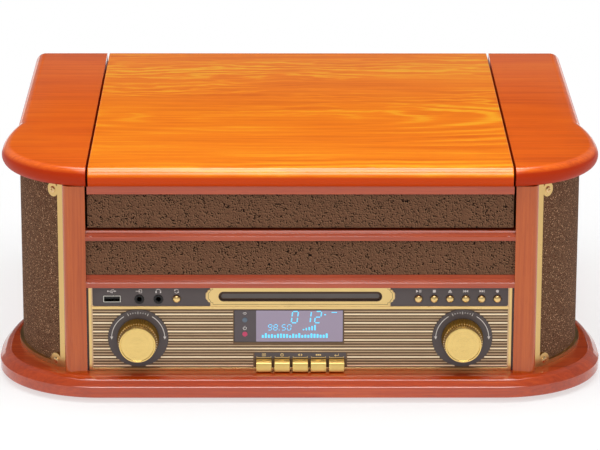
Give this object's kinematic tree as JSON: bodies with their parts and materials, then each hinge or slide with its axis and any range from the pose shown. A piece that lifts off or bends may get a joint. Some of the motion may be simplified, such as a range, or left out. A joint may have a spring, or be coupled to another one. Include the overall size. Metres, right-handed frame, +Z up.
{
  "type": "stereo music centre",
  "caption": "Table-top music centre in a wooden case: record player under a hinged lid, disc drawer, radio controls with knobs, keys and display, side speakers.",
  "frame": {"origin": "bottom centre of the case, on the table", "axes": "+X to the right seen from the front, -Y towards the listener, +Z up"},
  "size_m": [0.493, 0.392, 0.1931],
  "materials": {
    "gloss_wood": "veneer under clear high-gloss lacquer",
    "raw_board": "raw fibre board",
    "back_board": "thin hardboard, painted dark",
    "speaker_cloth": "woven speaker cloth",
    "brass": "pale, satin",
    "rubber": "matt",
    "steel": "plated",
    "dark_metal": "black paint",
    "cone_paper": "pressed fibre",
    "black_plastic": "fine grain",
    "white_plastic": "smooth",
    "aluminium": "turned",
    "panel_plastic": "satin dark grey",
    "display_glass": "smoked window",
    "socket_metal": "bright",
    "circuit_board": "solder resist"
  },
  "bodies": {
    "case": {"base_plate": "gloss_wood", "rubber_feet": "rubber", "wing_boards": "gloss_wood", "front_posts": "gloss_wood", "side_panels": "gloss_wood", "partition_walls": "raw_board", "back_panel": "back_board", "fascia_rails": "gloss_wood", "fascia_cloth": "speaker_cloth", "speaker_grilles": "speaker_cloth", "grille_trims": "brass", "grille_screws": "brass", "speaker_baffles": "raw_board", "speaker_drivers": "dark_metal", "speaker_cones": "cone_paper", "hinge_base_leaves": "steel", "hinge_pins": "steel", "deck_plate": "black_plastic", "centre_spindle": "steel", "drive_motor": "steel", "drive_belt": "rubber", "tonearm_base": "black_plastic", "arm_rest": "black_plastic", "control_panel": "panel_plastic", "panel_trim": "brass", "dial_plates": "panel_plastic", "display_window": "display_glass", "front_sockets": "socket_metal", "rotary_controls": "steel", "disc_frame": "black_plastic", "circuit_boards": "circuit_board", "power_transformer": "dark_metal", "rear_sockets": "socket_metal"},
    "lid": {"lid_board": "gloss_wood", "lid_frame": "gloss_wood", "lid_cloth": "speaker_cloth", "hinge_lid_leaves": "steel"},
    "platter": {"platter": "aluminium", "platter_mat": "rubber"},
    "pulley": {"motor_pulley": "brass"},
    "arm_yoke": {"tonearm_yoke": "black_plastic"},
    "arm": {"tonearm": "black_plastic", "cartridge": "white_plastic"},
    "speed_slider": {"speed_switch": "aluminium"},
    "volume": {"volume_knob": "brass"},
    "tuning": {"tuning_knob": "brass"},
    "tray": {"disc_tray": "panel_plastic"},
    "hub": {"disc_hub": "black_plastic"},
    "function_button_body": {"function_button": "brass"},
    "play_button_body": {"play_button": "brass"},
    "stop_button_body": {"stop_button": "brass"},
    "open_button_body": {"open_button": "brass"},
    "skip_back_button_body": {"skip_back_button": "brass"},
    "skip_on_button_body": {"skip_on_button": "brass"},
    "record_button_body": {"record_button": "brass"},
    "key_1_body": {"key_1": "brass"},
    "key_2_body": {"key_2": "brass"},
    "key_3_body": {"key_3": "brass"},
    "key_4_body": {"key_4": "brass"},
    "key_5_body": {"key_5": "brass"}
  },
  "joints": [
    {"name": "lid_hinge", "type": "hinge", "parent": "case", "child": "lid", "pos_m": [0, 0.1926, 0.14025], "axis": [-1, 0, 0], "range_deg": [0, 75]},
    {"name": "platter_spin", "type": "hinge", "parent": "case", "child": "platter", "pos_m": [-0.012, 0.005, 0.13], "axis": [0, 0, 1], "continuous": true},
    {"name": "pulley_spin", "type": "hinge", "parent": "case", "child": "pulley", "pos_m": [-0.0714, 0.0644, 0.124], "axis": [0, 0, 1], "continuous": true},
    {"name": "arm_swing", "type": "hinge", "parent": "case", "child": "arm_yoke", "pos_m": [0.138, 0.116, 0.14], "axis": [0, 0, -1], "range_deg": [0, 37]},
    {"name": "arm_lift", "type": "hinge", "parent": "arm_yoke", "child": "arm", "pos_m": [0.138, 0.116, 0.1521], "axis": [-1, 0, 0], "range_deg": [0, 4]},
    {"name": "speed_slide", "type": "slide", "parent": "case", "child": "speed_slider", "axis": [1, 0, 0], "range_m": [0, 0.008]},
    {"name": "volume_turn", "type": "hinge", "parent": "case", "child": "volume", "pos_m": [-0.1304, -0.1735, 0.0479], "axis": [0, 1, 0], "range_deg": [-150, 150]},
    {"name": "tuning_turn", "type": "hinge", "parent": "case", "child": "tuning", "pos_m": [0.1304, -0.1735, 0.0479], "axis": [0, 1, 0], "continuous": true},
    {"name": "tray_slide", "type": "slide", "parent": "case", "child": "tray", "axis": [0, -1, 0], "range_m": [0, 0.115]},
    {"name": "hub_spin", "type": "hinge", "parent": "case", "child": "hub", "pos_m": [0, -0.1087, 0.076], "axis": [0, 0, 1], "continuous": true},
    {"name": "function_button_press", "type": "slide", "parent": "case", "child": "function_button_body", "axis": [0, 1, 0], "range_m": [0, 0.001], "stiffness_N_per_m": 700},
    {"name": "play_button_press", "type": "slide", "parent": "case", "child": "play_button_body", "axis": [0, 1, 0], "range_m": [0, 0.001], "stiffness_N_per_m": 700},
    {"name": "stop_button_press", "type": "slide", "parent": "case", "child": "stop_button_body", "axis": [0, 1, 0], "range_m": [0, 0.001], "stiffness_N_per_m": 700},
    {"name": "open_button_press", "type": "slide", "parent": "case", "child": "open_button_body", "axis": [0, 1, 0], "range_m": [0, 0.001], "stiffness_N_per_m": 700},
    {"name": "skip_back_button_press", "type": "slide", "parent": "case", "child": "skip_back_button_body", "axis": [0, 1, 0], "range_m": [0, 0.001], "stiffness_N_per_m": 700},
    {"name": "skip_on_button_press", "type": "slide", "parent": "case", "child": "skip_on_button_body", "axis": [0, 1, 0], "range_m": [0, 0.001], "stiffness_N_per_m": 700},
    {"name": "record_button_press", "type": "slide", "parent": "case", "child": "record_button_body", "axis": [0, 1, 0], "range_m": [0, 0.001], "stiffness_N_per_m": 700},
    {"name": "key_1_press", "type": "slide", "parent": "case", "child": "key_1_body", "axis": [0, 1, 0], "range_m": [0, 0.001], "stiffness_N_per_m": 700},
    {"name": "key_2_press", "type": "slide", "parent": "case", "child": "key_2_body", "axis": [0, 1, 0], "range_m": [0, 0.001], "stiffness_N_per_m": 700},
    {"name": "key_3_press", "type": "slide", "parent": "case", "child": "key_3_body", "axis": [0, 1, 0], "range_m": [0, 0.001], "stiffness_N_per_m": 700},
    {"name": "key_4_press", "type": "slide", "parent": "case", "child": "key_4_body", "axis": [0, 1, 0], "range_m": [0, 0.001], "stiffness_N_per_m": 700},
    {"name": "key_5_press", "type": "slide", "parent": "case", "child": "key_5_body", "axis": [0, 1, 0], "range_m": [0, 0.001], "stiffness_N_per_m": 700}
  ],
  "couplings": [
    {"joint": "pulley_spin", "follows": "platter_spin", "ratio": 10.333}
  ]
}
